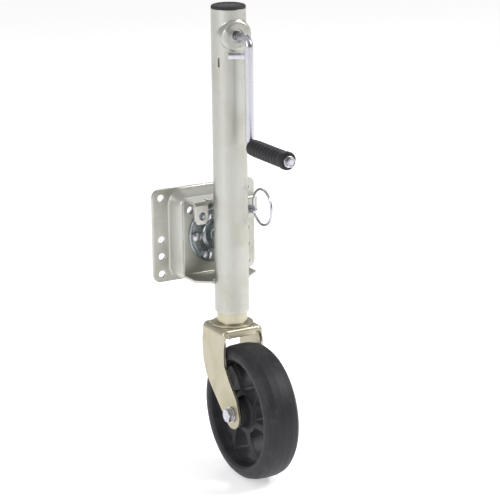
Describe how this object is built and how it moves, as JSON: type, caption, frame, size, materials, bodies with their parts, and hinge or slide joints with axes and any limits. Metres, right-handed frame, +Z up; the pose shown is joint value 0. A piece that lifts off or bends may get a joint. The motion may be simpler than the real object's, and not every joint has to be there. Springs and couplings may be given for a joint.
{
  "type": "trailer tongue jack",
  "caption": "Swivel-mount trailer tongue jack: steel telescoping tube with side-wind crank, swing bracket with lock pin, and caster wheel.",
  "frame": {"origin": "centre of the main bracket's mounting face, the plane of its two bolting flanges' rear faces", "axes": "+Z up along the jack tube, +Y out of the mounting face towards the trailer rail, -Y the side of the crank, X across the bracket and along the wheel's axle"},
  "size_m": [0.174, 0.2652, 0.7016],
  "materials": {
    "zinc_plate": "clear zinc plating over rolled steel, satin",
    "yellow_zinc": "pale yellow zinc plating, satin",
    "bright_zinc": "bright zinc plating",
    "blue_zinc": "blue-white zinc plating",
    "machined_steel": "turned and oiled",
    "bronze": "turned, greased",
    "cap_plastic": "moulded",
    "grip_plastic": "ribbed moulding",
    "wheel_plastic": "moulded nylon with a slight sheen"
  },
  "bodies": {
    "bracket": {"main_bracket": "zinc_plate"},
    "jack": {"swivel_bracket": "zinc_plate", "pivot_hub": "machined_steel", "pivot_front_disc": "blue_zinc", "pivot_rear_disc": "machined_steel", "pivot_bolt_1": "bright_zinc", "pivot_bolt_2": "bright_zinc", "pivot_bolt_3": "bright_zinc", "pivot_bolt_4": "bright_zinc", "pivot_bolt_5": "bright_zinc", "pivot_bolt_6": "bright_zinc", "pivot_nut_1": "bright_zinc", "pivot_nut_2": "bright_zinc", "pivot_nut_3": "bright_zinc", "pivot_nut_4": "bright_zinc", "pivot_nut_5": "bright_zinc", "pivot_nut_6": "bright_zinc", "lock_spring": "machined_steel", "outer_tube": "zinc_plate", "top_cap": "cap_plastic", "crank_front_bush": "machined_steel", "crank_rear_bush": "machined_steel", "bearing_housing": "machined_steel", "thrust_bearing": "machined_steel", "handle_clip": "bright_zinc"},
    "lock_pin": {"lock_pin": "bright_zinc", "lock_pin_collar": "bright_zinc"},
    "pull_ring": {"pull_ring": "bright_zinc"},
    "crank": {"crank_arm": "bright_zinc", "bevel_pinion": "machined_steel", "grip_washer": "bright_zinc", "grip_nut": "bright_zinc", "crank_retaining_ring": "machined_steel"},
    "grip": {"crank_grip": "grip_plastic"},
    "screw": {"lead_screw": "machined_steel", "bevel_gear": "machined_steel"},
    "ram": {"inner_tube": "yellow_zinc", "screw_nut": "bronze", "nut_pin": "machined_steel", "stem_plug": "machined_steel"},
    "caster": {"fork": "yellow_zinc", "swivel_washer": "yellow_zinc", "kingpin": "machined_steel", "kingpin_nut": "machined_steel", "axle_bolt": "bright_zinc", "axle_washer_left": "bright_zinc", "axle_washer_right": "bright_zinc", "axle_nut": "bright_zinc", "axle_sleeve": "machined_steel"},
    "wheel": {"wheel": "wheel_plastic", "wheel_bush_left": "machined_steel", "wheel_bush_right": "machined_steel"}
  },
  "joints": [
    {"name": "jack_swing", "type": "hinge", "parent": "bracket", "child": "jack", "pos_m": [0, -0.0365, 0.0025], "axis": [0, -1, 0], "range_deg": [0, 90]},
    {"name": "lock_pin_pull", "type": "slide", "parent": "jack", "child": "lock_pin", "axis": [0, 1, 0], "range_m": [0, 0.008], "deforming": ["lock_spring"]},
    {"name": "pull_ring_swing", "type": "hinge", "parent": "lock_pin", "child": "pull_ring", "pos_m": [0.0395, -0.088, 0.042], "axis": [0, 0, 1], "range_deg": [-30, 90]},
    {"name": "crank_turn", "type": "hinge", "parent": "jack", "child": "crank", "pos_m": [0, -0.147, 0.312], "axis": [0, 1, 0], "range_deg": [0, 27432]},
    {"name": "grip_spin", "type": "hinge", "parent": "crank", "child": "grip", "pos_m": [0, -0.2, 0.157], "axis": [0, 1, 0], "continuous": true},
    {"name": "screw_turn", "type": "hinge", "parent": "jack", "child": "screw", "pos_m": [0, -0.088, 0.289], "axis": [0, 0, -1], "range_deg": [0, 18289]},
    {"name": "ram_slide", "type": "slide", "parent": "jack", "child": "ram", "axis": [0, 0, -1], "range_m": [0, 0.2545]},
    {"name": "caster_swivel", "type": "hinge", "parent": "ram", "child": "caster", "pos_m": [0, -0.088, -0.124], "axis": [0, 0, 1], "continuous": true},
    {"name": "wheel_spin", "type": "hinge", "parent": "caster", "child": "wheel", "pos_m": [0, -0.144, -0.246], "axis": [1, 0, 0], "continuous": true}
  ],
  "couplings": [
    {"joint": "screw_turn", "follows": "crank_turn", "ratio": 0.66667},
    {"joint": "ram_slide", "follows": "crank_turn", "m_per_rad": 0.00053052}
  ]
}
